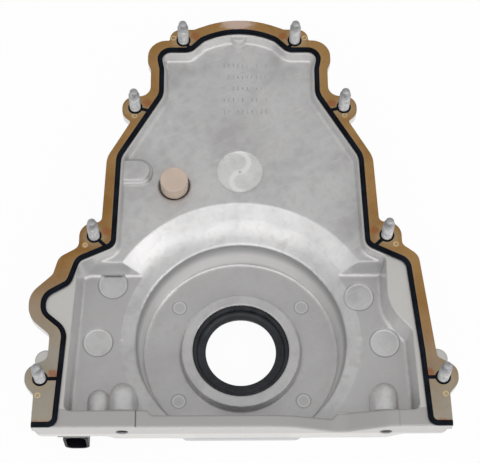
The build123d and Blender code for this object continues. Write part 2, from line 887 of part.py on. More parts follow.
# Lead connector on its bracket, its socket facing the pan side
bracket_depth = lower_depth + floor_t + bracket_boss_h
bracket_face_y = (connector_y + bracket_end_y) / 2
shell_depth = bracket_depth + bracket_t
with BuildPart() as connector_bracket:
    with BuildSketch(level(bracket_depth)):
        with Locations((connector_x - 0.85, bracket_face_y)):
            Rectangle(bracket_w, bracket_end_y - connector_y)
        with Locations((bracket_bolt_x, bracket_bolt_y)):
            Circle(bracket_boss_r)
        make_hull()
        with Locations((bracket_bolt_x, bracket_bolt_y)):
            Circle(m6_core_r + 0.3, mode=Mode.SUBTRACT)
        with Locations((connector_x, clip_y)):
            Circle(clip_r, mode=Mode.SUBTRACT)
    extrude(amount=-bracket_t)
save(connector_bracket.part, "connector_bracket")

bracket_bolt = flange_bolt(
    bracket_bolt_x,
    bracket_bolt_y,
    shell_depth,
    m6_r,
    bracket_t + bracket_hole_length - 0.5,
    *m6_head,
)
save(bracket_bolt, "bracket_bolt")

mouth = Plane(
    origin=(connector_x, connector_y, height(shell_depth + connector_h / 2)),
    x_dir=(1, 0, 0),
    z_dir=(0, 1, 0),
)
with BuildPart() as connector_shell:
    with BuildSketch(mouth):
        RectangleRounded(connector_w, connector_h, connector_round)
    extrude(amount=connector_length)
    fillet(connector_shell.faces().sort_by(Axis.Y)[-1].edges(), 1.5)
    with BuildSketch(mouth):
        RectangleRounded(
            connector_w - 2 * connector_wall,
            connector_h - 2 * connector_wall,
            connector_round - connector_wall,
        )
    extrude(amount=connector_socket_length, mode=Mode.SUBTRACT)
    with BuildSketch(mouth.offset(connector_socket_length)):
        with GridLocations(0, 2 * pin_pitch, 1, 3):
            Rectangle(pin_t, pin_w)
    extrude(amount=pin_root, mode=Mode.SUBTRACT)
    with BuildSketch(level(shell_depth)):
        with Locations((connector_x, clip_y)):
            Circle(clip_r)
    extrude(amount=bracket_t)
    with BuildSketch(level(bracket_depth)):
        with Locations((connector_x, clip_y)):
            Circle(clip_head_r)
    extrude(amount=clip_head_t, taper=20)
save(connector_shell.part, "connector_shell")

with BuildPart() as connector_pins:
    with BuildSketch(mouth.offset(connector_socket_length + pin_root)):
        with GridLocations(0, 2 * pin_pitch, 1, 3):
            Rectangle(pin_t, pin_w)
    extrude(amount=-pin_root - pin_length)
save(connector_pins.part, "connector_pins")

# Flange bolts, held in the gasket's rings; each neck ends just past its ring
bolt_neck = (bolt_neck_r, seat_depth + bead_h + bolt_neck_over)
bolt_point = (bolt_point_r, bolt_point_length)
bolt_head = (bolt_washer_r, bolt_washer_t, bolt_head_h, bolt_across_flats, bolt_neck, bolt_point)
for number, (bolt_x, bolt_y) in enumerate(bolts, 1):
    cover_bolt = flange_bolt(bolt_x, bolt_y, seat_depth, bolt_r, bolt_length, *bolt_head)
    save(cover_bolt, f"cover_bolt_{number}")
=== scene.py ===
"""Dresses a die-cast engine timing cover that lies on its front, block side up.

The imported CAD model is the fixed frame. The classes below give it bead-blasted aluminium, a
gold-tan coated gasket carrier, moulded rubber, threaded flange bolts, a crank seal, a cam
sensor and a lead connector, and set up a plain pale studio with the photograph's camera.

The origin lies on the crank's axis, +Y runs towards the cam and +Z points at the engine block.
Objects are in metres. Finishes work in millimetres, and so do values whose names end in _mm.
"""

from __future__ import annotations

import logging
import math
from dataclasses import dataclass
from enum import Enum
from functools import reduce
from typing import Callable, Iterable, Sequence

import bmesh
import bpy
from mathutils import Matrix, Vector

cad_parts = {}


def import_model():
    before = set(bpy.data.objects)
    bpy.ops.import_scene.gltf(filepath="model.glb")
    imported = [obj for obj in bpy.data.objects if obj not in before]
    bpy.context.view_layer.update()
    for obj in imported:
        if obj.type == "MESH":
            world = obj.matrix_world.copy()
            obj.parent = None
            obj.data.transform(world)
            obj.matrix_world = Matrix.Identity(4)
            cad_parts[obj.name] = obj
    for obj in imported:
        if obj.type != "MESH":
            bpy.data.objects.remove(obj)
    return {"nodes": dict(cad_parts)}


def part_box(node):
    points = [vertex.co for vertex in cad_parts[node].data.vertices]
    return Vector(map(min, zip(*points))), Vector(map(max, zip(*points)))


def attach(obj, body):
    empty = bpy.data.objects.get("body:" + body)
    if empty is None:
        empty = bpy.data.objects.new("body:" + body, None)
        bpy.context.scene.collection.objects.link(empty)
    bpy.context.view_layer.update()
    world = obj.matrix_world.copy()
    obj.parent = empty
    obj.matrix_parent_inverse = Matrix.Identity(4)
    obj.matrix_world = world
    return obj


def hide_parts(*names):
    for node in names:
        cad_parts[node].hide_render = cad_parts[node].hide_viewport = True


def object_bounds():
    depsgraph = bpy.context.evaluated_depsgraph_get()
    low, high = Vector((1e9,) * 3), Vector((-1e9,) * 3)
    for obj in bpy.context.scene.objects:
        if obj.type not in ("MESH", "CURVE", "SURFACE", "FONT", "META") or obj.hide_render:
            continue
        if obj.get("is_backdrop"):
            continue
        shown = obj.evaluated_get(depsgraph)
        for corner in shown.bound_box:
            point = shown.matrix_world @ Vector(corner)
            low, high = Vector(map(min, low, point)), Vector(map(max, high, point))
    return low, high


LOG = logging.getLogger("timing_cover")

MM = 0.001
IMAGE_WIDTH = 480
BODY = "root"
FLOOR_DEPTH_MM = 8.5

Colour = tuple[float, float, float]
Triple = tuple[float, float, float]
Place = tuple[float, float]


class Sheen(Enum):
    """How polished a plain finish is."""

    MATT = 0.62
    DULL = 0.52
    SATIN = 0.42
    SMOOTH = 0.28


def operator(operation: str, swapped: bool = False) -> Callable[[Term, Term | float], Term]:
    """Method that joins a term and another value with one Math node.

    Args:
        operation: Math node operation.
        swapped: Whether the other value stands first.

    Returns:
        The method.
    """

    def join(term: Term, other: Term | float) -> Term:
        """Result of the operation."""
        return term.graph.maths(operation, *((other, term) if swapped else (term, other)))

    return join


class Term:
    """A node socket that takes part in Python arithmetic."""

    __add__ = operator("ADD")
    __radd__ = operator("ADD", swapped=True)
    __sub__ = operator("SUBTRACT")
    __rsub__ = operator("SUBTRACT", swapped=True)
    __mul__ = operator("MULTIPLY")
    __rmul__ = operator("MULTIPLY", swapped=True)
    __truediv__ = operator("DIVIDE")

    def __init__(self, graph: Graph, socket: bpy.types.NodeSocket) -> None:
        """Wrap an output socket of a graph."""
        self.graph = graph
        self.socket = socket

    def __abs__(self) -> Term:
        """Absolute value."""
        return self.graph.maths("ABSOLUTE", self)

    def limit(self, low: float = 0.0, high: float = 1.0) -> Term:
        """Value held between two numbers."""
        return self.graph.maths("MINIMUM", self.graph.maths("MAXIMUM", self, low), high)

    def rise(self, start: float, end: float) -> Term:
        """Smooth step from 0 at start to 1 at end; end may be below start.

        Args:
            start: Value at which the step begins.
            end: Value at which the step is complete.

        Returns:
            The stepped value.
        """
        if end < start:
            return 1.0 - self.rise(end, start)
        inputs = {"Value": self, "From Min": start, "From Max": end}
        ranged = self.graph.node("ShaderNodeMapRange", inputs, interpolation_type="SMOOTHSTEP")
        return Term(self.graph, ranged.outputs["Result"])


class Graph:
    """Builds the nodes of one tree."""

    def __init__(self, tree: bpy.types.NodeTree) -> None:
        """Keep the tree that nodes are added to."""
        self.tree = tree

    def link(self, value: object, socket: bpy.types.NodeSocket) -> None:
        """Feed a socket with a link or a plain value.

        Args:
            value: Term, output socket, number, colour or vector.
            socket: Input socket to feed.
        """
        if isinstance(value, Term):
            value = value.socket
        if isinstance(value, bpy.types.NodeSocket):
            self.tree.links.new(value, socket)
        elif socket.type == "RGBA" and len(value) == 3:
            socket.default_value = (*value, 1.0)
        else:
            socket.default_value = value

    def node(self, kind: str, inputs: dict | None = None, **settings: object) -> bpy.types.Node:
        """Add one node.

        Args:
            kind: Node type's identifier.
            inputs: Socket name or index to value or link.
            settings: Attributes, set before the inputs.

        Returns:
            The new node.
        """
        made = self.tree.nodes.new(kind)
        for name, value in settings.items():
            setattr(made, name, value)
        for key, value in (inputs or {}).items():
            self.link(value, made.inputs[key])
        return made

    def maths(self, operation: str, *values: Term | float) -> Term:
        """Result of one Math node."""
        made = self.node("ShaderNodeMath", dict(enumerate(values)), operation=operation)
        return Term(self, made.outputs[0])

    def most(self, values: Iterable[Term]) -> Term:
        """Largest of several values at each point."""
        return reduce(lambda first, second: self.maths("MAXIMUM", first, second), values)

    def blend(self, factor: Term | float, first: object, second: object) -> bpy.types.NodeSocket:
        """Colour between two colours: a factor of 0 gives the first and 1 the second."""
        return self.node("ShaderNodeMix", {0: factor, 6: first, 7: second}, data_type="RGBA").outputs[2]

    def layers(self, colour: object, *coats: tuple[Term, Colour]) -> object:
        """Lay coats over a colour, one after the other.

        Args:
            colour: Colour or colour socket below them.
            coats: How much each coat covers, from 0 to 1, and its colour.

        Returns:
            Socket with the coated colour.
        """
        for cover, coat in coats:
            colour = self.blend(cover, colour, coat)
        return colour


class Shade(Graph):
    """Node graph of one material, with the patterns that its finishes share, in millimetres."""

    def __init__(self, name: str) -> None:
        """Start an empty material.

        Args:
            name: Its name.
        """
        self.material = bpy.data.materials.new(name)
        self.material.use_nodes = True
        super().__init__(self.material.node_tree)
        self.tree.nodes.clear()
        self.where = self.node("ShaderNodeTexCoord").outputs["Object"]
        parts = self.node("ShaderNodeSeparateXYZ", {0: self.where}).outputs
        self.x, self.y, self.z = (Term(self, parts[axis]) / MM for axis in "XYZ")

    def wave(self, phase: Term) -> Term:
        """Sine of a phase in radians, moved to the range 0 to 1."""
        return self.maths("SINE", phase) * 0.5 + 0.5

    def span(self, across: Term, along: Term) -> Term:
        """Distance over two lengths at a right angle."""
        return self.maths("SQRT", across * across + along * along)

    def reach(self, place: Place) -> Term:
        """Distance from a place, seen along Z."""
        return self.span(self.x - place[0], self.y - place[1])

    def noise(
        self,
        grain_mm: float,
        detail: float = 3.0,
        stretch: Triple = (1.0, 1.0, 1.0),
        turn_deg: float = 0.0,
        offset: float = 0.0,
    ) -> Term:
        """Noise from 0 to 1 about 0.5.

        Args:
            grain_mm: Size of its largest lumps in millimetres.
            detail: Number of finer layers.
            stretch: How much longer the lumps are along each axis.
            turn_deg: Turn of the stretched pattern about Z.
            offset: Shift that gives another pattern of the same kind.

        Returns:
            The noise.
        """
        inputs = {
            "Vector": self.where,
            "Location": (offset, offset, offset),
            "Rotation": (0.0, 0.0, math.radians(turn_deg)),
            "Scale": tuple(grain_mm * MM * along for along in stretch),
        }
        placed = self.node("ShaderNodeMapping", inputs, vector_type="TEXTURE").outputs[0]
        inputs = {"Vector": placed, "Scale": 1.0, "Detail": detail, "Roughness": 0.55}
        return Term(self, self.node("ShaderNodeTexNoise", inputs, noise_dimensions="3D").outputs[0])

    def near(self, place: Place, reach_mm: float, stretch: Place = (1.0, 1.0)) -> Term:
        """1 at a place and 0 beyond a reach, seen along Z.

        Args:
            place: X and Y in millimetres.
            reach_mm: Distance at which it has faded out.
            stretch: How much further it reaches along X and Y.

        Returns:
            The faded spot.
        """
        across = (self.x - place[0]) / stretch[0]
        along = (self.y - place[1]) / stretch[1]
        return self.span(across, along).rise(reach_mm, 0.0)

    def round_edges(self, radius_mm: float) -> bpy.types.NodeSocket:
        """Normal that softens edges finer than the mesh's own."""
        return self.node("ShaderNodeBevel", {"Radius": radius_mm * MM}, samples=6).outputs[0]

    def edges(self, radius_mm: float) -> Term:
        """1 on outer and inner edges and 0 on plain faces.

        Args:
            radius_mm: Reach of an edge.

        Returns:
            The edge mask.
        """
        face = self.node("ShaderNodeNewGeometry").outputs["True Normal"]
        inputs = {0: self.round_edges(radius_mm), 1: face}
        across = self.node("ShaderNodeVectorMath", inputs, operation="DOT_PRODUCT")
        return Term(self, across.outputs["Value"]).rise(0.995, 0.90)

    def hollows(self, reach_mm: float, open_share: float, closed_share: float) -> Term:
        """0 on faces with the open share of sky, 1 in corners with the closed share."""
        made = self.node("ShaderNodeAmbientOcclusion", {"Distance": reach_mm * MM}, samples=6)
        return Term(self, made.outputs["AO"]).rise(open_share, closed_share)

    def finish(
        self, colour: object, shine: dict, relief: Iterable[tuple[Term, float]], edge_mm: float
    ) -> bpy.types.Material:
        """Close the material with one principled shader.

        Args:
            colour: Base colour or its socket.
            shine: Other inputs of the shader by name.
            relief: Height patterns from 0 to 1 and their depths in millimetres.
            edge_mm: Radius of softened edges.

        Returns:
            The finished material.
        """
        normal = self.round_edges(edge_mm)
        for height, depth_mm in relief:
            inputs = {"Height": height, "Strength": 1.0, "Distance": depth_mm * MM, "Normal": normal}
            normal = self.node("ShaderNodeBump", inputs).outputs[0]
        inputs = {"Base Color": colour, **shine, "Normal": normal}
        shader = self.node("ShaderNodeBsdfPrincipled", inputs)
        self.node("ShaderNodeOutputMaterial", {"Surface": shader.outputs[0]})
        return self.material


@dataclass(frozen=True)
class CastAluminium:
    """Bead-blasted die casting with machined faces, smudges, scuffs, stains, painted shade and painted
    highlights.

    Its lengths are in millimetres. A mark is a pad or a pin mark: the place and radius of its
    centre. An arc of the dish is a painted highlight: its centre's place from the dish's own, its
    radius and the side, left or right, on which it is brighter. A pan hole is an X and a Z.
    """

    joint_z: float
    rail_y: float
    floor_z: float
    cast: Colour = (0.70, 0.695, 0.695)
    # patchy dull skin, and painted shade in the pockets, on the seal's boss and on the cup's floor
    dull_and_shade: Colour = (0.50, 0.49, 0.49)
    machined: Colour = (0.68, 0.66, 0.63)
    # scuffs, and the painted highlights on walls, pad edges, the turned dish and the rail face
    scuff_and_highlight: Colour = (0.90, 0.90, 0.89)
    sanded: Colour = (0.46, 0.445, 0.44)
    # stains and scratches, and painted shade in corners and creases
    stain_and_shade: Colour = (0.37, 0.35, 0.33)
    shaded: Colour = (0.30, 0.30, 0.32)
    # painted shade: inside the pan bolts' bores and in the line at the plateau's end
    hole: Colour = (0.10, 0.10, 0.11)
    pocket_z: float = 27.1
    pad_depth: float = 0.8
    nose_z: float = 23.3
    rim_shadow_z: Place = (9.0, 21.0)
    seal_boss_z: float = 5.5
    cup_floor_z: float = -2.1
    seal_boss_reach: float = 52.0
    cup_reach: float = 76.0
    cone_at_step_r: float = 92.0
    step_y: float = 50.4
    step_end_x: float = 115.0
    rail_edge_y: float = -56.5
    plateau_depth: float = 15.0
    step_shadow_x: float = -70.5
    marks: tuple[Triple, ...] = (
        (-89.6, 41.0, 10.2),
        (-98.8, -1.9, 10.2),
        (82.8, 31.4, 10.2),
        (99.3, -3.0, 10.2),
        (-43.7, 35.1, 5.0),
        (43.7, 35.1, 5.0),
        (-43.7, -35.1, 5.0),
        (43.7, -35.1, 5.0),
    )
    dish: Place = (0.0, 123.2)
    dish_r: float = 16.5
    cutter_pitch: float = 0.9
    arcs: tuple[tuple[float, ...], ...] = ((1.2, -7.6, 7.4, -1.0), (-1.4, 7.8, 7.8, 1.0))
    pan_holes: tuple[Place, ...] = ((-79.9, 37.1), (96.2, 35.3))
    pan_hole_r: float = 4.0
    tapped: float = 16.0
    thread_pitch: float = 1.25
    edge_mm: float = 2.2

    def make(self) -> bpy.types.Material:
        """Build the material.

        Returns:
            The finished material.
        """
        shade = Shade("cast_aluminium")
        cloud = shade.noise(7.0, 6.0, offset=1.4)
        grain = shade.noise(0.9, 3.0)
        blast = shade.noise(2.6, 2.0, offset=2.2)
        ripple = shade.noise(14.0, 2.0, offset=6.0)
        rail, plateau, step_shadow, planed = self.cuts(shade)
        thread, inside = self.tapping(shade)
        from_dish = shade.reach(self.dish)
        on_floor = shade.z.rise(self.floor_z + 0.3, self.floor_z - 0.1)
        dish = from_dish.rise(self.dish_r + 0.15, self.dish_r - 0.15) * on_floor
        turned = shade.wave(from_dish * (2.0 * math.pi / self.cutter_pitch))
        colour = shade.layers(
            self.skin(shade, cloud),
            *self.tones(shade),
            (planed * 0.85, self.machined),
            (plateau * 0.9, self.sanded),
            # painted shadow line at the plateau's left end
            (step_shadow * (1.0 - rail) * 0.75, self.hole),
            # painted reflection arcs on the turned dish
            (dish * self.painted_dish_highlights(shade, cloud), self.scuff_and_highlight),
            (from_dish.rise(1.6, 0.7) * dish * 0.5, self.stain_and_shade),
            # painted shade in corners and creases
            (shade.hollows(6.0, 0.66, 0.30) * 0.40, self.stain_and_shade),
            # painted shade inside the pan bolts' bores
            (inside * 0.8, self.hole),
            # painted highlight on the rail's pan face
            (rail * (1.0 - inside) * 0.3, self.scuff_and_highlight),
        )
        rough = 0.35 + (cloud - 0.5) * 0.16 + (grain - 0.5) * 0.10 + planed * 0.04 - dish * 0.06
        relief = [
            (ripple * (1.0 - planed), 0.22),
            (cloud * (1.0 - planed), 0.12),
            (blast * (1.0 - planed), 0.045),
            (grain * (1.0 - planed * 0.8) * (1.0 - dish * 0.8), 0.018),
            (turned * dish, 0.012),
            (thread, 0.25),
        ]
        shine = {"Metallic": 0.75, "Roughness": rough}
        return shade.finish(colour, shine, relief, self.edge_mm)

    def cuts(self, shade: Shade) -> tuple[Term, Term, Term, Term]:
        """Faces that were machined after casting, and the painted shadow line at the plateau's end.

        Args:
            shade: Graph to build in.

        Returns:
            1 on the pan face, on the rail's plateau, on the painted shadow line at the plateau's left end,
            and on every machined face.
        """
        joint = abs(shade.z - self.joint_z).rise(0.12, 0.06)
        rail = (shade.y - self.rail_y).rise(0.12, 0.06)
        by_rail = shade.y.rise(self.rail_edge_y + 0.2, self.rail_edge_y)
        above = shade.z - (self.joint_z - self.plateau_depth)
        plateau = by_rail * above.rise(-0.2, 0.2)
        step_shadow = by_rail * abs(shade.x - self.step_shadow_x).rise(0.6, 0.3)
        return rail, plateau, step_shadow, shade.most((joint, rail, plateau))

    def skin(self, shade: Shade, cloud: Term) -> object:
        """Blasted skin, patchy, with stains, scuffs and scratches.

        Args:
            shade: Graph to build in.
            cloud: Noise that it shares with the roughness.

        Returns:
            Colour socket of the skin.
        """
        broad = shade.noise(60.0, 3.0)
        smudge = shade.noise(24.0, 6.0, (2.2, 1.0, 1.0), 38.0, 3.1)
        scuff = shade.noise(2.2, 3.0, (9.0, 0.6, 1.0), 24.0, 5.2).rise(0.60, 0.74)
        scratch = shade.noise(2.0, 3.0, (10.0, 0.5, 1.0), -52.0, 8.4).rise(0.60, 0.74)
        clean = (broad * 1.4 + smudge * 2.3 + cloud * 1.3 - 1.95).limit()
        foul = (smudge * 0.6 + cloud * 0.6).rise(0.62, 0.76)
        return shade.layers(
            shade.blend(clean, self.dull_and_shade, self.cast),
            (foul * 0.32, self.stain_and_shade),
            (scuff * 0.22, self.scuff_and_highlight),
            (scratch * 0.25, self.stain_and_shade),
        )

    def tones(self, shade: Shade) -> list[tuple[Term, Colour]]:
        """Painted shade and painted highlights that depend on how deep and how steep a face is.

        Args:
            shade: Graph to build in.

        Returns:
            Coats in the order in which they are laid.
        """
        level, painted_wall_mask = self.slopes(shade)
        from_crank = shade.reach((0.0, 0.0))
        cup_wall = painted_wall_mask * from_crank.rise(self.cup_reach + 1.0, self.cup_reach - 1.0)
        high = shade.z.rise(*self.rim_shadow_z)
        step = abs(shade.y - self.step_y).rise(3.0, 0.8)
        step = step * abs(shade.x).rise(self.step_end_x + 3.0, self.step_end_x - 3.0)
        step = step * from_crank.rise(self.cone_at_step_r - 2.0, self.cone_at_step_r + 2.0)
        nose = shade.y.rise(self.rail_edge_y + 1.0, self.rail_edge_y + 0.5)
        nose = nose * shade.z.rise(self.nose_z + 0.4, self.nose_z - 0.4)
        line, ring = self.painted_pad_edges(shade)
        return [
            # painted shade on the pockets' floors, the seal's boss and the cup's floor
            (self.depths(shade) * level, self.dull_and_shade),
            # painted highlight on the steep walls
            (painted_wall_mask * 0.36, self.scuff_and_highlight),
            # painted highlight low on the cup's wall, and painted shade high under its rim
            (cup_wall * (1.0 - high) * 0.7, self.scuff_and_highlight),
            (cup_wall * high * 0.6, self.shaded),
            # painted shade on the step's slope beside the cone
            (painted_wall_mask * step * 0.4, self.shaded),
            # painted highlight ring just inside the edge of each pad and pin mark
            (ring * level * 0.4, self.scuff_and_highlight),
            # painted shade line at the foot of each pad and pin mark
            (line * 0.5, self.shaded),
            # painted shade on the nose below the rail
            (nose * (1.0 - level) * 0.6, self.shaded),
        ]

    def slopes(self, shade: Shade) -> tuple[Term, Term]:
        """Level faces, and steep walls, which carry painted highlights and painted shade.

        Args:
            shade: Graph to build in.

        Returns:
            1 on level faces, and 1 on steep walls apart from the seal boss's own.
        """
        face = shade.node("ShaderNodeNewGeometry").outputs["True Normal"]
        up = abs(Term(shade, shade.node("ShaderNodeSeparateXYZ", {0: face}).outputs["Z"]))
        clear = shade.reach((0.0, 0.0)).rise(self.seal_boss_reach - 2.0, self.seal_boss_reach + 2.0)
        return up.rise(0.90, 0.97), up.rise(0.60, 0.35) * clear

    def depths(self, shade: Shade) -> Term:
        """How much painted shade darkens the pockets, the cup's floor and the seal's boss.

        Args:
            shade: Graph to build in.

        Returns:
            Share of the darker tone, painted shade, at each height.
        """
        pocket = abs(shade.z - self.pocket_z - self.pad_depth / 2).rise(1.1, 0.7)
        boss = (shade.z - self.seal_boss_z).rise(2.0, 1.0)
        cup = (shade.z - self.cup_floor_z).rise(2.4, 1.2)
        return pocket * 0.76 + boss * 0.30 + cup * 0.30

    def painted_pad_edges(self, shade: Shade) -> tuple[Term, Term]:
        """Painted shade in a thin line round each pad and pin mark, and a painted highlight ring inside it.

        Args:
            shade: Graph to build in.

        Returns:
            The line and the ring, from 0 to 1.
        """
        past = [shade.reach((x, y)) - radius for x, y, radius in self.marks]
        line = shade.most(abs(edge - 0.15).rise(0.75, 0.15) for edge in past)
        ring = shade.most(abs(edge + 0.9).rise(0.7, 0.1) for edge in past)
        low = shade.z.rise(self.pocket_z + 2.0, self.pocket_z + 1.2)
        low = low * shade.z.rise(self.cup_floor_z - 1.2, self.cup_floor_z - 0.4)
        return line * low, ring * low

    def painted_dish_highlights(self, shade: Shade, cloud: Term) -> Term:
        """Painted highlights in arcs on the turned dish.

        Args:
            shade: Graph to build in.
            cloud: Noise that makes the arcs uneven.

        Returns:
            How much painted highlight the dish gets, from 0 to 1.
        """
        light = 0.26 + cloud * 0.45
        for x, y, radius, side in self.arcs:
            away = abs(shade.reach((self.dish[0] + x, self.dish[1] + y)) - radius)
            half = ((shade.x - self.dish[0] - x) * side).rise(-5.0, 4.0)
            light = light + away.rise(2.6, 0.3) * (0.12 + half * 0.62)
        return light.limit()

    def tapping(self, shade: Shade) -> tuple[Term, Term]:
        """Thread turns on the walls of the pan bolts' bores.

        Args:
            shade: Graph to build in.

        Returns:
            Height of the thread from 0 to 1, and 1 inside the bores.
        """
        depth = (shade.y - self.rail_y).rise(self.tapped, self.tapped - 1.0)
        phase = shade.y * (2.0 * math.pi / self.thread_pitch)
        bores, turns = [], []
        for x, z in self.pan_holes:
            dx, dz = shade.x - x, shade.z - z
            bores.append(shade.span(dx, dz).rise(self.pan_hole_r + 0.1, self.pan_hole_r) * depth)
            turns.append(shade.wave(phase + shade.maths("ARCTAN2", dz, dx)) * bores[-1])
        return shade.most(turns), shade.most(bores)


@dataclass(frozen=True)
class CoatedSheet:
    """Golden-brown coated gasket sheet, worn grey at the foot and rust-stained by its webs.

    Its lengths are in millimetres. The pips on the right are repeated on the left.
    """

    bolts: tuple[Place, ...]
    coat: Colour = (0.28, 0.138, 0.034)
    pale: Colour = (0.37, 0.21, 0.075)
    deep: Colour = (0.19, 0.085, 0.022)
    rust: Colour = (0.34, 0.115, 0.035)
    worn: Colour = (0.37, 0.34, 0.285)
    rubbed: Colour = (0.46, 0.36, 0.23)
    patch: Colour = (0.66, 0.52, 0.47)
    # gold of the pips, partly their colour and partly a painted glint
    gold: Colour = (0.85, 0.62, 0.30)
    paler_y: Place = (60.0, 250.0)
    worn_y: Place = (40.0, -52.0)
    worn_tilt: float = 0.16
    foot_y: float = -68.0
    crown: Place = (-1.4, 241.3)
    crown_reach: float = 22.0
    stain_shift: Place = (8.5, 3.5)
    stain_reach: float = 8.5
    right_pips: tuple[Place, ...] = ((76.0, 163.6), (108.0, 61.5), (135.7, -47.5), (48.5, 229.0))
    pip_r: float = 1.9

    def make(self) -> bpy.types.Material:
        """Build the material.

        Returns:
            The finished material.
        """
        shade = Shade("coated_sheet")
        broad = shade.noise(22.0, 4.0)
        fine = shade.noise(2.6, 5.0, offset=4.0)
        speck = shade.noise(1.1, 3.0, offset=9.0)
        light = broad * 2.8 - 1.05 + shade.x * 0.002 + shade.y.rise(*self.paler_y) * 0.6
        low = (shade.y + shade.x * self.worn_tilt).rise(*self.worn_y)
        foot = low * (0.55 + broad * 0.9) + (fine - 0.5) * 0.35
        by_webs = self.stains(shade) * (0.05 + fine * 0.9 + speck * 0.75)
        by_foot = (shade.y - self.foot_y).rise(7.5, 0.5) * (0.2 + fine * 1.1)
        rusty = shade.most((by_webs, by_foot))
        bare = shade.near(self.crown, self.crown_reach, (1.0, 0.42)) + fine * 0.9 - 0.62
        colour = shade.layers(
            shade.blend(light.limit(), self.coat, self.pale),
            (shade.edges(0.7) * 0.65, self.deep),
            (fine.rise(0.55, 0.72) * 0.45, self.deep),
            (foot.limit(0.0, 0.94), self.worn),
            (shade.hollows(7.0, 0.99, 0.90) * 0.60, self.rubbed),
            (rusty.rise(0.36, 0.80) * 0.75, self.rust),
            (bare.rise(0.0, 0.6) * 0.7, self.patch),
        )
        # gold dot at each pip: partly its colour, partly a painted glint
        for x, y in self.right_pips:
            for side in (-1.0, 1.0):
                pip_glint = shade.reach((side * x, y)).rise(self.pip_r + 0.4, self.pip_r - 0.4)
                colour = shade.blend(pip_glint * 0.8, colour, self.gold)
        rough = 0.46 + (fine - 0.5) * 0.25
        shine = {"Metallic": 0.30, "Roughness": rough, "Specular IOR Level": 0.2}
        return shade.finish(colour, shine, [(fine, 0.03), (speck, 0.015)], 0.3)

    def stains(self, shade: Shade) -> Term:
        """Where rust gathers, beside each rubber web.

        Args:
            shade: Graph to build in.

        Returns:
            1 in the middle of each stain, 0 away from them.
        """
        out, up = self.stain_shift
        middles = [(x - math.copysign(out, x), y + up) for x, y in self.bolts]
        return shade.most(shade.near(middle, self.stain_reach, (1.0, 0.85)) for middle in middles)


@dataclass(frozen=True)
class MouldedRubber:
    """Black moulded rubber with a faint bluish bloom."""

    name: str
    colour: Colour = (0.004, 0.005, 0.008)
    bloom: Colour = (0.010, 0.014, 0.022)
    sheen: Sheen = Sheen.SATIN
    gloss: float = 0.06
    skin_mm: float = 0.01

    def make(self) -> bpy.types.Material:
        """Build the material.

        Returns:
            The finished material.
        """
        shade = Shade(self.name)
        haze = shade.noise(12.0, 2.0)
        grain = shade.noise(0.6, 2.0)
        colour = shade.blend(haze.rise(0.3, 0.8), self.colour, self.bloom)
        rough = self.sheen.value + (haze - 0.5) * 0.1
        shine = {"Roughness": rough, "Specular IOR Level": self.gloss}
        return shade.finish(colour, shine, [(grain, self.skin_mm)], 0.2)


@dataclass(frozen=True)
class PlainMetal:
    """Turned or pressed metal with fine wear, darker above the height tip_z in millimetres."""

    name: str
    colour: Colour
    shadow: Colour
    sheen: Sheen = Sheen.SATIN
    metallic: float = 1.0
    speckle_mm: float = 1.1
    tip_z: float = 1000.0

    def make(self) -> bpy.types.Material:
        """Build the material.

        Returns:
            The finished material.
        """
        shade = Shade(self.name)
        cloud = shade.noise(4.0, 4.0)
        speck = shade.noise(self.speckle_mm, 3.0, offset=2.0)
        colour = shade.blend((cloud * 0.9 + speck * 1.5 - 0.7).limit(), self.shadow, self.colour)
        tip = shade.z.rise(self.tip_z - 0.5, self.tip_z + 0.5)
        colour = shade.blend(tip * 0.55, colour, self.shadow)
        rough = self.sheen.value + (speck - 0.5) * 0.25
        shine = {"Metallic": self.metallic, "Roughness": rough}
        return shade.finish(colour, shine, [(speck, 0.02)], 0.2)


@dataclass(frozen=True)
class MouldedPlastic:
    """Injection-moulded plastic with a fine skin."""

    name: str
    colour: Colour
    shadow: Colour
    sheen: Sheen = Sheen.SATIN
    gloss: float = 0.5

    def make(self) -> bpy.types.Material:
        """Build the material.

        Returns:
            The finished material.
        """
        shade = Shade(self.name)
        cloud = shade.noise(11.0, 4.0)
        skin = shade.noise(0.7, 2.0)
        fleck = shade.noise(1.5, 3.0, offset=7.0).rise(0.62, 0.72)
        colour = shade.blend(cloud.rise(0.25, 0.8), self.shadow, self.colour)
        colour = shade.blend(fleck * 0.25, colour, self.shadow)
        rough = self.sheen.value + (cloud - 0.5) * 0.12
        shine = {"Roughness": rough, "Specular IOR Level": self.gloss}
        return shade.finish(colour, shine, [(skin, 0.015)], 0.3)


@dataclass(frozen=True)
class PaleFloor:
    """White studio floor that keeps a soft shadow."""

    colour: Colour = (0.93, 0.93, 0.93)
    glow_share: float = 0.95

    def make(self) -> bpy.types.Material:
        """Build the material: lit as it is, and plain white where it isn't in shadow.

        Returns:
            The finished material.
        """
        shade = Shade("pale_floor")
        diffuse = shade.node("ShaderNodeBsdfDiffuse", {"Color": self.colour})
        glow = shade.node("ShaderNodeEmission", {"Color": (1.0, 1.0, 1.0), "Strength": 1.0})
        ray = shade.node("ShaderNodeLightPath").outputs
        seen = shade.most(Term(shade, ray[name]) for name in ("Is Camera Ray", "Is Glossy Ray"))
        inputs = {0: seen * self.glow_share, 1: diffuse.outputs[0], 2: glow.outputs[0]}
        mixed = shade.node("ShaderNodeMixShader", inputs)
        shade.node("ShaderNodeOutputMaterial", {"Surface": mixed.outputs[0]})
        return shade.material


def add_object(name: str, data: bpy.types.ID) -> bpy.types.Object:
    """Make an object and add it to the scene.

    Args:
        name: Name of the object.
        data: Its mesh, light or camera.

    Returns:
        The new object, at the origin.
    """
    made = bpy.data.objects.new(name, data)
    bpy.context.scene.collection.objects.link(made)
    return made


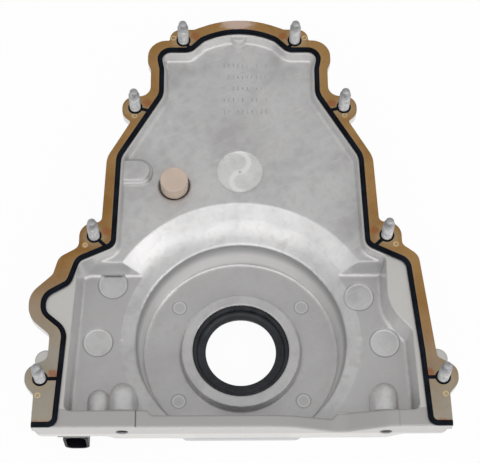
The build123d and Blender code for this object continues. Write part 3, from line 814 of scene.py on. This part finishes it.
def cover_with(piece: bpy.types.Object, material: bpy.types.Material) -> None:
    """Give every face of a piece one material.

    Args:
        piece: Object to dress.
        material: Its only material.
    """
    if piece.data.materials:
        for index in range(len(piece.data.materials)):
            piece.data.materials[index] = material
    else:
        piece.data.materials.append(material)


def add_piece(name: str, form: bmesh.types.BMesh, sharp_deg: float = 35.0) -> bpy.types.Object:
    """Turn mesh data into an object at the origin with smooth faces and sharp edges.

    Args:
        name: Name of the piece.
        form: Mesh data, freed afterwards.
        sharp_deg: Edges that turn by more stay sharp.

    Returns:
        The new object.
    """
    bmesh.ops.recalc_face_normals(form, faces=form.faces)
    for face in form.faces:
        face.smooth = True
    for edge in form.edges:
        if len(edge.link_faces) == 2:
            edge.smooth = edge.calc_face_angle(0.0) < math.radians(sharp_deg)
    data = bpy.data.meshes.new(name)
    form.to_mesh(data)
    form.free()
    return add_object(name, data)


def place_piece(piece: bpy.types.Object, slot: str, *nodes: str) -> None:
    """Hang a finished piece on the body and say what it stands for.

    Args:
        piece: Finished piece.
        slot: Material slot of the record that it takes its finish from; not used.
        nodes: CAD nodes that it replaces.
    """
    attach(piece, BODY)
    if nodes:
        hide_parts(*nodes)
    LOG.info("%s: %d faces, for %s", piece.name, len(piece.data.polygons), nodes or "looks")


def arc_corners(corners: Sequence[Triple], steps: int) -> list[Place]:
    """Closed outline with rounded corners.

    Args:
        corners: X, Y and corner radius of each corner.
        steps: Points along each rounded corner, less one.

    Returns:
        Points of the outline in order.
    """
    points: list[Place] = []
    for i, (x, y, radius) in enumerate(corners):
        here = Vector((x, y))
        if radius <= 0.0:
            points.append((x, y))
            continue
        back = (Vector(corners[i - 1][:2]) - here).normalized()
        ahead = (Vector(corners[(i + 1) % len(corners)][:2]) - here).normalized()
        half = back.angle(ahead) / 2
        reach = radius / math.tan(half)
        middle = here + (back + ahead).normalized() * (radius / math.sin(half))
        start, end = here + back * reach - middle, here + ahead * reach - middle
        for step in range(steps + 1):
            share = step / steps
            spoke = start.lerp(end, share).normalized() * radius
            points.append((middle.x + spoke.x, middle.y + spoke.y))
    return points


def skin_over(rows: Sequence[Sequence[Place]], closed: bool) -> bmesh.types.BMesh:
    """Skin over rows of points that each go once round the Z axis in even steps.

    Args:
        rows: Radius and height of each point of each row, in millimetres.
        closed: Whether the last row joins the first. If not, both ends are capped.

    Returns:
        The mesh data, in metres.
    """
    form = bmesh.new()
    count = len(rows[0])
    angles = [2.0 * math.pi * step / count for step in range(count)]
    ways = [(math.cos(angle) * MM, math.sin(angle) * MM) for angle in angles]
    made = []
    for row in rows:
        spots = zip(row, ways)
        made.append([form.verts.new((r * x, r * y, z * MM)) for (r, z), (x, y) in spots])
    for low, high in zip(made, made[1:] + made[:1] if closed else made[1:]):
        for i in range(count):
            j = (i + 1) % count
            form.faces.new((low[i], low[j], high[j], high[i]))
    if not closed:
        form.faces.new(list(reversed(made[0])))
        form.faces.new(made[-1])
    return form


class Growth(Graph):
    """Geometry node tree that makes one piece, with named inputs."""

    def __init__(self, name: str, inputs: dict[str, str]) -> None:
        """Start a tree.

        Args:
            name: Name of the tree.
            inputs: Socket type of each input by name, such as Float.
        """
        super().__init__(bpy.data.node_groups.new(name, "GeometryNodeTree"))
        face = self.tree.interface
        face.new_socket("Geometry", in_out="OUTPUT", socket_type="NodeSocketGeometry")
        for label, kind in inputs.items():
            face.new_socket(label, in_out="INPUT", socket_type="NodeSocket" + kind)
        self.given = self.node("NodeGroupInput").outputs

    def vary(self, low: Triple, high: Triple, seed: int) -> bpy.types.NodeSocket:
        """Random vector for each point, between two vectors."""
        inputs = {"Min": low, "Max": high, "Seed": seed}
        return self.node("FunctionNodeRandomValue", inputs, data_type="FLOAT_VECTOR").outputs[0]

    def grow(
        self, name: str, geometry: bpy.types.NodeSocket, material: bpy.types.Material, values: dict
    ) -> bpy.types.Object:
        """Finish the tree, run it once and keep its result as a plain mesh.

        Args:
            name: Name of the piece.
            geometry: Socket with the instances.
            material: Finish of the piece.
            values: Value of each input by name.

        Returns:
            Object at the origin that holds the result.
        """
        solid = self.node("GeometryNodeRealizeInstances", {"Geometry": geometry}).outputs[0]
        dressed = self.node("GeometryNodeSetMaterial", {"Geometry": solid, "Material": material})
        self.node("NodeGroupOutput", {"Geometry": dressed.outputs[0]})
        host = add_object(name + "_host", bpy.data.meshes.new(name + "_host"))
        modifier = host.modifiers.new(name, "NODES")
        modifier.node_group = self.tree
        for item in self.tree.interface.items_tree:
            if item.in_out == "INPUT":
                modifier[item.identifier] = values[item.name]
        ready = host.evaluated_get(bpy.context.evaluated_depsgraph_get())
        data = bpy.data.meshes.new_from_object(ready)
        data.name = name
        host.modifiers.clear()
        bpy.data.objects.remove(host)
        return add_object(name, data)


@dataclass
class Casting:
    """The cover casting, and the tally marks cast into its floor: rows of uneven bars."""

    node: bpy.types.Object
    material: bpy.types.Material
    floor_z_mm: float
    centre_mm: Place = (4.2, 191.4)
    rows: int = 5
    columns: int = 10
    pitch_mm: Place = (3.4, 9.7)
    bar_mm: Triple = (0.7, 4.6, 0.36)
    least: Triple = (0.8, 0.55, 1.0)
    most: Triple = (1.5, 1.0, 1.0)
    kept_share: float = 0.82
    rounding_mm: float = 0.08
    seed: int = 4

    def build(self) -> None:
        """Dress the casting and add its marks."""
        cover_with(self.node, self.material)
        marks = self.grow_marks()
        form = bmesh.new()
        form.from_mesh(marks.data)
        offset = self.rounding_mm * MM
        bmesh.ops.bevel(form, geom=form.edges, offset=offset, segments=2, profile=0.5, affect="EDGES")
        form.to_mesh(marks.data)
        form.free()
        place_piece(marks, "casting")

    def grow_marks(self) -> bpy.types.Object:
        """Set bars on a grid, some left out, each of its own size.

        Returns:
            The piece with every bar.
        """
        kinds = {"Columns": "Int", "Rows": "Int", "Width": "Float", "Height": "Float", "Bar": "Vector"}
        graph = Growth("tally_marks", kinds)
        given = graph.given
        inputs = {
            "Size X": given["Width"],
            "Size Y": given["Height"],
            "Vertices X": given["Columns"],
            "Vertices Y": given["Rows"],
        }
        grid = graph.node("GeometryNodeMeshGrid", inputs)
        inputs = {"Probability": self.kept_share, "Seed": self.seed}
        keep = graph.node("FunctionNodeRandomValue", inputs, data_type="BOOLEAN")
        bar = graph.node("GeometryNodeMeshCube", {"Size": given["Bar"]})
        inputs = {
            "Points": grid.outputs["Mesh"],
            "Selection": keep.outputs[3],
            "Instance": bar.outputs["Mesh"],
            "Scale": graph.vary(self.least, self.most, self.seed + 1),
        }
        placed = graph.node("GeometryNodeInstanceOnPoints", inputs)
        centre = Vector((*self.centre_mm, self.floor_z_mm)) * MM
        inputs = {"Geometry": placed.outputs[0], "Translation": centre}
        moved = graph.node("GeometryNodeTransform", inputs)
        values = {
            "Columns": self.columns,
            "Rows": self.rows,
            "Width": self.pitch_mm[0] * MM * (self.columns - 1),
            "Height": self.pitch_mm[1] * MM * (self.rows - 1),
            "Bar": tuple(size * MM for size in self.bar_mm),
        }
        return graph.grow("casting_marks", moved.outputs[0], self.material, values)


@dataclass
class FlangeBolt:
    """Hexagon flange bolt: thread, dog point, neck, washer face and head."""

    name: str
    overall_mm: float
    washer_r_mm: float
    washer_mm: float = 1.6
    head_mm: float = 8.0
    across_flats_mm: float = 10.0
    chamfer: float = 0.93
    chamfer_slope: float = 0.96
    neck_r_mm: float = 3.6
    neck_mm: float = 9.8
    radius_mm: float = 3.95
    pitch_mm: float = 1.25
    thread_depth: float = 0.54
    thread_from_mm: float = 9.9
    point_r_mm: float = 3.0
    point_mm: float = 3.4
    dark_tip_mm: float = 7.6
    dome_deg: float = 80.0
    segments: int = 36
    rows_per_turn: int = 6
    dome_rows: int = 6
    seed: int = 11

    @property
    def length_mm(self) -> float:
        """Length from the seat to the point."""
        return self.overall_mm - self.head_mm

    def thread(self, z: float, angle: float) -> float:
        """Radius of the threaded shank, which tapers to the point.

        Args:
            z: Height above the seat in millimetres.
            angle: Angle round the shank in radians.

        Returns:
            Radius in millimetres.
        """
        run_out = min(1.0, max(0.0, (z - self.thread_from_mm) / self.pitch_mm))
        turn = (z / self.pitch_mm - angle / (2.0 * math.pi)) % 1.0
        groove = max(0.0, min(1.0, 1.25 - abs(turn - 0.5) * 3.2))
        taper_from = self.length_mm - 1.8 * self.point_mm
        share = min(1.0, max(0.0, (z - taper_from) / (0.8 * self.point_mm)))
        full = self.radius_mm + (self.point_r_mm - self.radius_mm) * share
        return min(full, self.radius_mm - self.thread_depth * self.pitch_mm * groove * run_out)

    def shape(self) -> bmesh.types.BMesh:
        """Mesh of one bolt with its seat at height zero and its shank along +Z.

        Returns:
            The bolt's mesh data, in metres.
        """
        angles = [2.0 * math.pi * step / self.segments for step in range(self.segments)]
        flat = self.across_flats_mm / 2.0
        sides = [flat / math.cos((angle + math.pi / 6) % (math.pi / 3) - math.pi / 6) for angle in angles]
        face_r = self.chamfer * flat
        washer, washer_r = self.washer_mm, self.washer_r_mm
        bevel, edge = 0.3, 0.15
        shank = [
            (flat * 1.22, -washer * 1.5),
            (washer_r - bevel, -washer * 0.6),
            (washer_r, -washer * 0.4),
            (washer_r, -edge),
            (washer_r - edge, 0.0),
            (self.neck_r_mm, 0.0),
            (self.neck_r_mm, self.neck_mm - bevel),
            (self.radius_mm, self.neck_mm),
            (self.radius_mm, self.thread_from_mm),
        ]
        rows = [
            [(face_r, -self.head_mm)] * self.segments,
            [(r, self.chamfer_slope * (r - face_r) - self.head_mm) for r in sides],
            [(r, -washer * 1.7) for r in sides],
            *([place] * self.segments for place in shank),
        ]
        point_z = self.length_mm - self.point_mm
        rows_per_mm = self.rows_per_turn / self.pitch_mm
        for step in range(1, int((point_z - self.thread_from_mm) * rows_per_mm) + 1):
            z = self.thread_from_mm + step / rows_per_mm
            rows.append([(self.thread(z, angle), z) for angle in angles])
        for step in range(self.dome_rows):
            lean = math.radians(self.dome_deg) * step / (self.dome_rows - 1)
            z = point_z + self.point_mm * (0.35 + 0.65 * math.sin(lean))
            rows.append([(self.point_r_mm * math.cos(lean), z)] * self.segments)
        return skin_over(rows, closed=False)

    def scatter(self, seats: Sequence[Vector], material: bpy.types.Material) -> bpy.types.Object:
        """Set a copy on each seat, each turned by its own amount.

        Args:
            seats: Centre of each seat.
            material: Finish of the bolts.

        Returns:
            One piece with every bolt.
        """
        pattern = add_piece(self.name + "_pattern", self.shape(), 40.0)
        spots = bpy.data.meshes.new(self.name + "_spots")
        spots.from_pydata([tuple(seat) for seat in seats], [], [])
        points = add_object(self.name + "_spots", spots)
        graph = Growth(self.name + "_set", {"Spots": "Object", "Bolt": "Object"})
        spot = graph.node("GeometryNodeObjectInfo", {"Object": graph.given["Spots"]})
        bolt = graph.node("GeometryNodeObjectInfo", {"Object": graph.given["Bolt"]})
        inputs = {
            "Points": spot.outputs["Geometry"],
            "Instance": bolt.outputs["Geometry"],
            "Rotation": graph.vary((0.0, 0.0, 0.0), (0.0, 0.0, 2.0 * math.pi), self.seed),
        }
        placed = graph.node("GeometryNodeInstanceOnPoints", inputs)
        piece = graph.grow(self.name, placed.outputs[0], material, {"Spots": points, "Bolt": pattern})
        bpy.data.objects.remove(points)
        bpy.data.objects.remove(pattern)
        return piece


@dataclass
class CrankSeal:
    """Moulded seal, turned finely: the outer body with its dust lip, and the shaft's lip."""

    body_node: str
    lip_node: str
    material: bpy.types.Material
    skin_mm: float = 0.6
    wall_mm: float = 1.7
    case_depth_mm: float = 1.5
    dust_r_mm: float = 26.6
    shaft_r_mm: float = 24.8
    segments: int = 160

    def build(self) -> None:
        """Make the two rubber rings from the boxes of their nodes."""
        low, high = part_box(self.body_node)
        outer, top, front = high.x / MM, high.z / MM, low.z / MM
        low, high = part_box(self.lip_node)
        rim, lip_top, lip_front = high.x / MM, high.z / MM, low.z / MM
        dust, shaft = self.dust_r_mm, self.shaft_r_mm
        body = [
            (outer, top - self.skin_mm, 0.3),
            (outer - self.skin_mm, top, 0.3),
            (rim + 0.8, top, 0.5),
            (rim, top - 1.4, 0.3),
            (rim, lip_front, 0.0),
            (dust + 0.6, lip_front, 0.5),
            (dust, front + 2.4, 0.2),
            (dust + 0.3, front + 2.0, 0.1),
            (dust + 1.4, front + 2.8, 0.5),
            (dust + 2.0, front + 1.1, 0.0),
            (outer - self.wall_mm, front + 1.1, 0.6),
            (outer - self.wall_mm, top - self.case_depth_mm, 0.0),
            (outer - self.skin_mm, top - self.case_depth_mm, 0.0),
            (outer - self.skin_mm, front, 0.0),
            (outer, front, 0.0),
        ]
        lip = [
            (rim, lip_top - 0.5, 0.0),
            (rim - 1.8, lip_top, 0.8),
            (rim - 3.4, lip_top - 1.1, 1.5),
            (shaft, 0.6, 0.25),
            (shaft, -0.6, 0.25),
            (shaft + 2.2, -1.2, 1.0),
            (shaft + 4.4, lip_front, 0.0),
            (rim, lip_front, 0.0),
        ]
        self.add_ring("seal_body", arc_corners(body, 4), self.body_node)
        self.add_ring("seal_lip", arc_corners(lip, 6), self.lip_node)

    def add_ring(self, name: str, profile: Sequence[Place], node: str) -> None:
        """Turn one ring and let it stand for its node.

        Args:
            name: Name of the piece.
            profile: Radius and height of each point, in millimetres.
            node: CAD node that it replaces.
        """
        rows = [[place] * self.segments for place in profile]
        piece = add_piece(name, skin_over(rows, closed=True), 50.0)
        cover_with(piece, self.material)
        place_piece(piece, "seal_rubber", node)


@dataclass(frozen=True)
class SoftBox:
    """Rectangular soft lamp that faces the object."""

    name: str
    azimuth_deg: float
    elevation_deg: float
    width_m: float
    height_m: float
    brightness: float
    distance_m: float = 1.9

    def build(self, aim: Vector) -> None:
        """Hang the lamp; azimuth 0 stands in front of the cover's foot, 90 on its right.

        Args:
            aim: Point that the lamp faces.
        """
        turn, lift = math.radians(self.azimuth_deg), math.radians(self.elevation_deg)
        way = Vector((math.sin(turn) * math.cos(lift), -math.cos(turn) * math.cos(lift), math.sin(lift)))
        data = bpy.data.lights.new(self.name, "AREA")
        data.shape = "RECTANGLE"
        data.size = self.width_m
        data.size_y = self.height_m
        data.energy = self.brightness * math.pi * self.width_m * self.height_m
        lamp = add_object(self.name, data)
        lamp.location = aim + way * self.distance_m
        lamp.rotation_euler = (-way).to_track_quat("-Z", "Y").to_euler()


@dataclass
class Studio:
    """Camera of the photograph, pale floor, soft boxes and white world."""

    eye_mm: Triple = (-11.10, -362.84, 1001.47)
    aim_mm: Triple = (-0.43, 71.47, 50.0)
    roll_deg: float = 1.084
    focal_px: float = 1500.0
    sensor_mm: float = 36.0
    floor_half_m: float = 4.0
    world_side: float = 0.485
    world_top: float = 0.19
    world_front: float = 0.52
    front_y: Place = (0.15, -0.85)
    front_z: Place = (0.0, 0.30)
    lamp_aim_mm: Triple = (0.0, 80.0, 0.0)
    lamps: tuple[SoftBox, ...] = (
        SoftBox("front_box", 0.0, 50.0, 2.6, 1.3, 0.45),
        SoftBox("right_box", 62.0, 24.0, 0.9, 1.0, 1.5),
        SoftBox("left_box", -62.0, 22.0, 0.4, 0.9, 0.9),
    )

    def build(self, floor_z: float) -> None:
        """Set up everything that isn't the object.

        Args:
            floor_z: Height of the floor in metres.
        """
        self.add_camera()
        self.add_floor(floor_z)
        self.add_world()
        for lamp in self.lamps:
            lamp.build(Vector(self.lamp_aim_mm) * MM)

    def add_camera(self) -> None:
        """Camera fitted to the photograph."""
        data = bpy.data.cameras.new("photo_camera")
        data.sensor_fit = "HORIZONTAL"
        data.sensor_width = self.sensor_mm
        data.lens = self.sensor_mm * self.focal_px / IMAGE_WIDTH
        data.clip_start = 0.05
        data.clip_end = 30.0
        camera = add_object("photo_camera", data)
        eye, aim = Vector(self.eye_mm) * MM, Vector(self.aim_mm) * MM
        look = (aim - eye).to_track_quat("-Z", "Y").to_matrix().to_4x4()
        turn = look @ Matrix.Rotation(math.radians(self.roll_deg), 4, "Z")
        camera.location = eye
        camera.rotation_euler = turn.to_euler("XYZ")
        bpy.context.scene.camera = camera

    def add_floor(self, floor_z: float) -> None:
        """Large plain floor.

        Args:
            floor_z: Height of the floor in metres.
        """
        form = bmesh.new()
        half = self.floor_half_m
        corners = [(-half, -half), (half, -half), (half, half), (-half, half)]
        form.faces.new([form.verts.new((x, y, floor_z)) for x, y in corners])
        floor = add_piece("studio_floor", form)
        cover_with(floor, PaleFloor().make())
        floor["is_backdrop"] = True

    def add_world(self) -> None:
        """White tent, brighter in front of the foot; plain white to the camera."""
        world = bpy.data.worlds.new("studio_world")
        world.use_nodes = True
        graph = Graph(world.node_tree)
        graph.tree.nodes.clear()
        ray = Term(graph, graph.node("ShaderNodeLightPath").outputs["Is Camera Ray"])
        way = graph.node("ShaderNodeTexCoord").outputs["Generated"]
        parts = graph.node("ShaderNodeSeparateXYZ", {0: way}).outputs
        y, z = Term(graph, parts["Y"]), Term(graph, parts["Z"])
        front = y.rise(*self.front_y) * z.rise(*self.front_z)
        light = self.world_side + z.limit() * self.world_top + front * self.world_front
        inputs = {"Color": (1.0, 1.0, 1.0), "Strength": light * (1.0 - ray) + ray}
        glow = graph.node("ShaderNodeBackground", inputs)
        graph.node("ShaderNodeOutputWorld", {"Surface": glow.outputs[0]})
        bpy.context.scene.world = world


def main() -> None:
    """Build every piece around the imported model."""
    logging.basicConfig(level=logging.INFO, format="%(name)s: %(message)s")
    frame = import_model()
    cad_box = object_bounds()
    nodes = frame["nodes"]
    bpy.context.scene.view_settings.view_transform = "Standard"

    joint_z_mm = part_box("gasket_carrier")[0].z / MM
    rail_y_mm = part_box("cover_casting")[0].y / MM
    floor_z_mm = joint_z_mm - FLOOR_DEPTH_MM
    bolt_nodes = sorted(name for name in nodes if name.startswith("cover_bolt_"))
    bolt_boxes = [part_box(name) for name in bolt_nodes]
    low, high = bolt_boxes[0]
    cover_bolt = FlangeBolt("cover_bolts", (high.z - low.z) / MM, (high.x - low.x) / 2 / MM)
    bolt_tip_z_mm = high.z / MM - cover_bolt.dark_tip_mm
    seats = []
    for low, high in bolt_boxes:
        middle = (low + high) / 2
        seats.append(Vector((middle.x, middle.y, low.z + cover_bolt.head_mm * MM)))

    cast = CastAluminium(joint_z_mm, rail_y_mm, floor_z_mm).make()
    sheet = CoatedSheet(tuple((seat.x / MM, seat.y / MM) for seat in seats)).make()
    rubber = MouldedRubber("gasket_rubber").make()
    seal_rubber = MouldedRubber(
        "seal_rubber", (0.016, 0.017, 0.021), (0.032, 0.034, 0.042), Sheen.SMOOTH, 0.3
    ).make()
    bolt_steel = PlainMetal(
        "bolt_steel", (0.74, 0.74, 0.74), (0.32, 0.32, 0.33), Sheen.DULL, 0.8, 1.6, bolt_tip_z_mm
    ).make()
    plated = PlainMetal("plated_steel", (0.58, 0.57, 0.54), (0.40, 0.39, 0.37)).make()
    brass = PlainMetal("tinned_brass", (0.70, 0.58, 0.33), (0.50, 0.40, 0.22), Sheen.SMOOTH).make()
    magnet = PlainMetal("magnet", (0.20, 0.20, 0.21), (0.12, 0.12, 0.13), Sheen.MATT).make()
    tan = MouldedPlastic("tan_plastic", (0.62, 0.50, 0.415), (0.55, 0.44, 0.36)).make()
    black = MouldedPlastic("black_plastic", (0.007, 0.007, 0.012), (0.003, 0.003, 0.006), gloss=0.15).make()

    Casting(nodes["cover_casting"], cast, floor_z_mm).build()
    for name, material in {
        "gasket_carrier": sheet,
        "gasket_bead": rubber,
        "crank_seal_case": plated,
        "cam_sensor_tip": tan,
        "cam_sensor_chip": black,
        "cam_sensor_magnet": magnet,
        "cam_sensor_body": black,
        "cam_sensor_pins": brass,
        "cam_sensor_o_ring": rubber,
        "cam_sensor_sleeve": plated,
        "cam_sensor_bolt": plated,
        "connector_bracket": plated,
        "bracket_bolt": plated,
        "connector_shell": black,
        "connector_pins": brass,
    }.items():
        cover_with(nodes[name], material)
        LOG.info("%s: %s", name, material.name)
    CrankSeal("crank_seal_body", "crank_seal_lip", seal_rubber).build()
    place_piece(cover_bolt.scatter(seats, bolt_steel), "bolt_steel", *bolt_nodes)

    Studio().build(cad_box[0].z)


if __name__ == "__main__":
    main()
